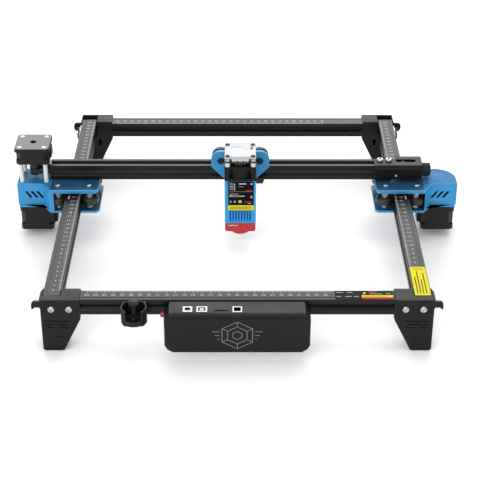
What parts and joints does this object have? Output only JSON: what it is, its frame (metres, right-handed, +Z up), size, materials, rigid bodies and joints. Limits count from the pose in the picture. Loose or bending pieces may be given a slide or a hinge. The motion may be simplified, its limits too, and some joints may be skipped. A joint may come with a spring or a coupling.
{
  "type": "desktop laser cutter",
  "caption": "Open-frame desktop laser cutter: slotted-bar frame on legs, gantry on side rails, laser head on a carriage, control box in front.",
  "frame": {"origin": "on the table, under the centre of the machine's bounding box", "axes": "+X to the right of someone facing the control box, +Y to the back, +Z up"},
  "size_m": [0.567, 0.5188, 0.135],
  "materials": {
    "black_anodised": "satin black anodised, ruler printed in light grey on the frame bars' tops",
    "black_plastic": "fine moulded texture",
    "blue_anodised": "satin blue anodised",
    "blue_cover": "satin blue",
    "motor_black": "satin black",
    "belt_rubber": "matt",
    "roller_black": "smooth",
    "nickel_steel": "nickel plated",
    "black_steel": "blackened",
    "circuit_board": "solder mask",
    "white_nylon": "smooth white",
    "red_acrylic": "tinted, glossy",
    "red_plastic": "glossy"
  },
  "bodies": {
    "frame": {"front_bar": "black_anodised", "rear_bar": "black_anodised", "left_rail": "black_anodised", "right_rail": "black_anodised", "leg_front_left": "black_plastic", "leg_front_right": "black_plastic", "leg_rear_left": "black_plastic", "leg_rear_right": "black_plastic", "y_belt_left": "belt_rubber", "y_belt_right": "belt_rubber", "control_case": "black_plastic", "control_back_plate": "black_steel", "control_board": "circuit_board", "gauge_cup": "black_plastic"},
    "power_button": {"power_button": "red_plastic"},
    "gauge_pin": {"gauge_pin": "nickel_steel"},
    "gantry": {"x_beam": "black_anodised", "upper_plate_left": "blue_anodised", "upper_plate_right": "blue_anodised", "lower_plate_left": "blue_anodised", "lower_plate_right": "blue_anodised", "drive_cover_left": "blue_cover", "drive_cover_right": "blue_cover", "y_motor_left": "motor_black", "y_motor_right": "motor_black", "y_belt_loop_left": "belt_rubber", "y_belt_loop_right": "belt_rubber", "x_motor": "motor_black", "motor_post_front_left": "white_nylon", "motor_post_front_right": "white_nylon", "motor_post_rear_left": "white_nylon", "motor_post_rear_right": "white_nylon", "x_belt": "belt_rubber", "tensioner_block": "black_plastic"},
    "idler_fork": {"idler_fork": "nickel_steel"},
    "x_idler": {"x_idler": "nickel_steel"},
    "tensioner_knob": {"tensioner_knob": "black_plastic"},
    "x_pulley": {"x_pulley": "black_steel"},
    "y_roller_left_outer_front": {"y_roller_left_outer_front": "roller_black"},
    "y_roller_left_outer_rear": {"y_roller_left_outer_rear": "roller_black"},
    "y_roller_left_inner_front": {"y_roller_left_inner_front": "roller_black"},
    "y_roller_left_inner_rear": {"y_roller_left_inner_rear": "roller_black"},
    "y_pulley_left": {"y_pulley_left": "nickel_steel"},
    "y_roller_right_outer_front": {"y_roller_right_outer_front": "roller_black"},
    "y_roller_right_outer_rear": {"y_roller_right_outer_rear": "roller_black"},
    "y_roller_right_inner_front": {"y_roller_right_inner_front": "roller_black"},
    "y_roller_right_inner_rear": {"y_roller_right_inner_rear": "roller_black"},
    "y_pulley_right": {"y_pulley_right": "nickel_steel"},
    "carriage": {"carriage_plate": "blue_anodised", "belt_clamp": "nickel_steel", "limit_switch": "black_plastic"},
    "x_roller_top_left": {"x_roller_top_left": "roller_black"},
    "x_roller_top_right": {"x_roller_top_right": "roller_black"},
    "x_roller_bottom": {"x_roller_bottom": "roller_black"},
    "laser_head": {"laser_body": "blue_anodised", "fan_frame": "black_plastic", "head_board": "circuit_board", "head_cover": "white_nylon", "beam_guard": "red_acrylic"},
    "fan_rotor": {"fan_rotor": "black_plastic"}
  },
  "joints": [
    {"name": "gantry_slide", "type": "slide", "parent": "frame", "child": "gantry", "axis": [0, 1, 0], "range_m": [-0.19, 0.103]},
    {"name": "carriage_slide", "type": "slide", "parent": "gantry", "child": "carriage", "axis": [1, 0, 0], "range_m": [-0.15, 0.134]},
    {"name": "focus_slide", "type": "slide", "parent": "carriage", "child": "laser_head", "axis": [0, 0, 1], "range_m": [-0.02, 0.02]},
    {"name": "y_roller_left_outer_front_spin", "type": "hinge", "parent": "gantry", "child": "y_roller_left_outer_front", "pos_m": [-0.23025, 0.02555, 0.0588], "axis": [0, 0, 1], "range_deg": [-1200, 1200]},
    {"name": "y_roller_left_outer_rear_spin", "type": "hinge", "parent": "gantry", "child": "y_roller_left_outer_rear", "pos_m": [-0.23025, 0.07755, 0.0588], "axis": [0, 0, 1], "range_deg": [-1200, 1200]},
    {"name": "y_roller_left_inner_front_spin", "type": "hinge", "parent": "gantry", "child": "y_roller_left_inner_front", "pos_m": [-0.19025, 0.02555, 0.0588], "axis": [0, 0, 1], "range_deg": [-1200, 1200]},
    {"name": "y_roller_left_inner_rear_spin", "type": "hinge", "parent": "gantry", "child": "y_roller_left_inner_rear", "pos_m": [-0.19025, 0.07755, 0.0588], "axis": [0, 0, 1], "range_deg": [-1200, 1200]},
    {"name": "y_pulley_left_spin", "type": "hinge", "parent": "gantry", "child": "y_pulley_left", "pos_m": [-0.2615, 0.05155, 0.0588], "axis": [0, 0, 1], "range_deg": [-1800, 1800]},
    {"name": "y_roller_right_outer_front_spin", "type": "hinge", "parent": "gantry", "child": "y_roller_right_outer_front", "pos_m": [0.23025, 0.02555, 0.0588], "axis": [0, 0, 1], "range_deg": [-1200, 1200]},
    {"name": "y_roller_right_outer_rear_spin", "type": "hinge", "parent": "gantry", "child": "y_roller_right_outer_rear", "pos_m": [0.23025, 0.07755, 0.0588], "axis": [0, 0, 1], "range_deg": [-1200, 1200]},
    {"name": "y_roller_right_inner_front_spin", "type": "hinge", "parent": "gantry", "child": "y_roller_right_inner_front", "pos_m": [0.19025, 0.02555, 0.0588], "axis": [0, 0, 1], "range_deg": [-1200, 1200]},
    {"name": "y_roller_right_inner_rear_spin", "type": "hinge", "parent": "gantry", "child": "y_roller_right_inner_rear", "pos_m": [0.19025, 0.07755, 0.0588], "axis": [0, 0, 1], "range_deg": [-1200, 1200]},
    {"name": "y_pulley_right_spin", "type": "hinge", "parent": "gantry", "child": "y_pulley_right", "pos_m": [0.2615, 0.05155, 0.0588], "axis": [0, 0, 1], "range_deg": [-1800, 1800]},
    {"name": "x_roller_top_left_spin", "type": "hinge", "parent": "carriage", "child": "x_roller_top_left", "pos_m": [-0.02075, 0.05155, 0.1085], "axis": [0, 1, 0], "range_deg": [-1000, 1000]},
    {"name": "x_roller_top_right_spin", "type": "hinge", "parent": "carriage", "child": "x_roller_top_right", "pos_m": [0.02825, 0.05155, 0.1085], "axis": [0, 1, 0], "range_deg": [-1000, 1000]},
    {"name": "x_roller_bottom_spin", "type": "hinge", "parent": "carriage", "child": "x_roller_bottom", "pos_m": [0.00375, 0.05155, 0.0685], "axis": [0, 1, 0], "range_deg": [-1000, 1000]},
    {"name": "x_pulley_spin", "type": "hinge", "parent": "gantry", "child": "x_pulley", "pos_m": [-0.2615, 0.05155, 0.0885], "axis": [0, 0, 1], "range_deg": [-1500, 1500]},
    {"name": "idler_fork_slide", "type": "slide", "parent": "gantry", "child": "idler_fork", "axis": [1, 0, 0], "range_m": [-0.0018, 0]},
    {"name": "tensioner_knob_turn", "type": "hinge", "parent": "gantry", "child": "tensioner_knob", "pos_m": [0.24, 0.05155, 0.0885], "axis": [1, 0, 0], "range_deg": [-830, 0]},
    {"name": "x_idler_spin", "type": "hinge", "parent": "idler_fork", "child": "x_idler", "pos_m": [0.214, 0.05155, 0.0885], "axis": [0, 0, 1], "range_deg": [-1500, 1500]},
    {"name": "fan_spin", "type": "hinge", "parent": "laser_head", "child": "fan_rotor", "pos_m": [0.00375, 0.01275, 0.11], "axis": [0, 0, 1], "continuous": true},
    {"name": "power_button_press", "type": "slide", "parent": "frame", "child": "power_button", "axis": [1, 0, 0], "range_m": [0, 0.0015], "stiffness_N_per_m": 400, "springref_m": -0.001},
    {"name": "gauge_pin_lift", "type": "slide", "parent": "frame", "child": "gauge_pin", "axis": [0, 0, 1], "range_m": [0, 0.03]}
  ],
  "couplings": [
    {"joint": "y_roller_left_outer_front_spin", "follows": "gantry_slide", "rad_per_m": -98},
    {"joint": "y_roller_left_outer_rear_spin", "follows": "gantry_slide", "rad_per_m": -98},
    {"joint": "y_roller_left_inner_front_spin", "follows": "gantry_slide", "rad_per_m": 98},
    {"joint": "y_roller_left_inner_rear_spin", "follows": "gantry_slide", "rad_per_m": 98},
    {"joint": "y_pulley_left_spin", "follows": "gantry_slide", "rad_per_m": 156.99},
    {"joint": "y_roller_right_outer_front_spin", "follows": "gantry_slide", "rad_per_m": 98},
    {"joint": "y_roller_right_outer_rear_spin", "follows": "gantry_slide", "rad_per_m": 98},
    {"joint": "y_roller_right_inner_front_spin", "follows": "gantry_slide", "rad_per_m": -98},
    {"joint": "y_roller_right_inner_rear_spin", "follows": "gantry_slide", "rad_per_m": -98},
    {"joint": "y_pulley_right_spin", "follows": "gantry_slide", "rad_per_m": -156.99},
    {"joint": "x_roller_top_left_spin", "follows": "carriage_slide", "rad_per_m": 98},
    {"joint": "x_roller_top_right_spin", "follows": "carriage_slide", "rad_per_m": 98},
    {"joint": "x_roller_bottom_spin", "follows": "carriage_slide", "rad_per_m": -98},
    {"joint": "x_pulley_spin", "follows": "carriage_slide", "rad_per_m": 156.99},
    {"joint": "tensioner_knob_turn", "follows": "idler_fork_slide", "rad_per_m": 7854},
    {"joint": "x_idler_spin", "follows": "carriage_slide", "rad_per_m": 156.99}
  ]
}
